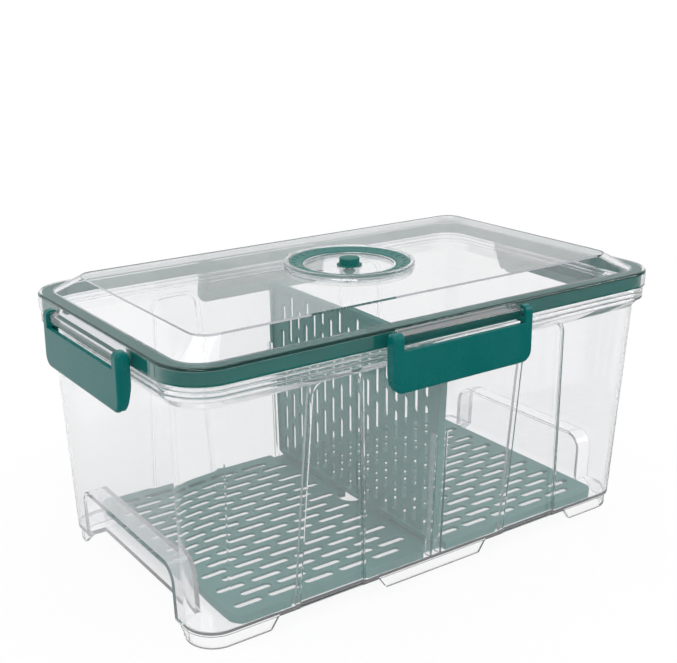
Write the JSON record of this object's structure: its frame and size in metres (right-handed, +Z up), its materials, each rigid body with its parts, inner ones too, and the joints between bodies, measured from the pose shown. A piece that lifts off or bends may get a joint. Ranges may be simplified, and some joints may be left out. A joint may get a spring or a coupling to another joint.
{
  "type": "airtight bread box",
  "caption": "Clear bread box with a gasketed snap-latch lid, a vacuum valve with a date dial, a slotted divider and a folding crumb tray.",
  "frame": {"origin": "middle of the footprint, on the surface that the feet stand on", "axes": "+X along the length of the box, -Y towards the side with the front latch, +Z up"},
  "size_m": [0.3576, 0.2166, 0.1741],
  "materials": {
    "clear_plastic": "clear moulded plastic, polished",
    "latch_green": "deep teal green moulded plastic, satin gloss",
    "tray_green": "teal green moulded plastic, satin",
    "dial_green": "deep teal green moulded plastic",
    "gasket_green": "teal green silicone",
    "valve_green": "teal green silicone",
    "seal_clear": "translucent silicone"
  },
  "bodies": {
    "tub": {"tub": "clear_plastic"},
    "lid": {"lid": "clear_plastic", "lid_gasket": "gasket_green", "valve_cup": "clear_plastic", "cup_seal": "seal_clear"},
    "latch_front": {"latch_front": "latch_green"},
    "latch_right": {"latch_right": "latch_green"},
    "latch_back": {"latch_back": "latch_green"},
    "latch_left": {"latch_left": "latch_green"},
    "date_dial": {"date_dial": "dial_green"},
    "valve_plug": {"valve_plug": "valve_green"},
    "divider": {"divider": "tray_green"},
    "tray_left": {"tray_left": "tray_green"},
    "tray_right": {"tray_right": "tray_green"}
  },
  "joints": [
    {"name": "lid_lift", "type": "slide", "parent": "tub", "child": "lid", "axis": [0, 0, 1], "range_m": [0, 0.06]},
    {"name": "latch_front_swing", "type": "hinge", "parent": "lid", "child": "latch_front", "pos_m": [0, -0.104, 0.1567], "axis": [-1, 0, 0], "range_deg": [-4.5, 120]},
    {"name": "latch_right_swing", "type": "hinge", "parent": "lid", "child": "latch_right", "pos_m": [0.1745, 0, 0.1567], "axis": [0, -1, 0], "range_deg": [-4.5, 120]},
    {"name": "latch_back_swing", "type": "hinge", "parent": "lid", "child": "latch_back", "pos_m": [0, 0.104, 0.1567], "axis": [1, 0, 0], "range_deg": [-4.5, 120]},
    {"name": "latch_left_swing", "type": "hinge", "parent": "lid", "child": "latch_left", "pos_m": [-0.1745, 0, 0.1567], "axis": [0, 1, 0], "range_deg": [-4.5, 120]},
    {"name": "dial_turn", "type": "hinge", "parent": "lid", "child": "date_dial", "pos_m": [0, 0, 0.1708], "axis": [0, 0, 1], "continuous": true},
    {"name": "valve_lift", "type": "slide", "parent": "lid", "child": "valve_plug", "axis": [0, 0, 1], "range_m": [0, 0.002]},
    {"name": "divider_lift", "type": "slide", "parent": "tub", "child": "divider", "axis": [0, 0, 1], "range_m": [0, 0.008]},
    {"name": "tray_left_fold", "type": "hinge", "parent": "tub", "child": "tray_left", "pos_m": [0, 0, 0.0153], "axis": [0, 1, 0], "range_deg": [0, 35]},
    {"name": "tray_right_fold", "type": "hinge", "parent": "tub", "child": "tray_right", "pos_m": [0, 0, 0.0153], "axis": [0, -1, 0], "range_deg": [0, 35]}
  ]
}
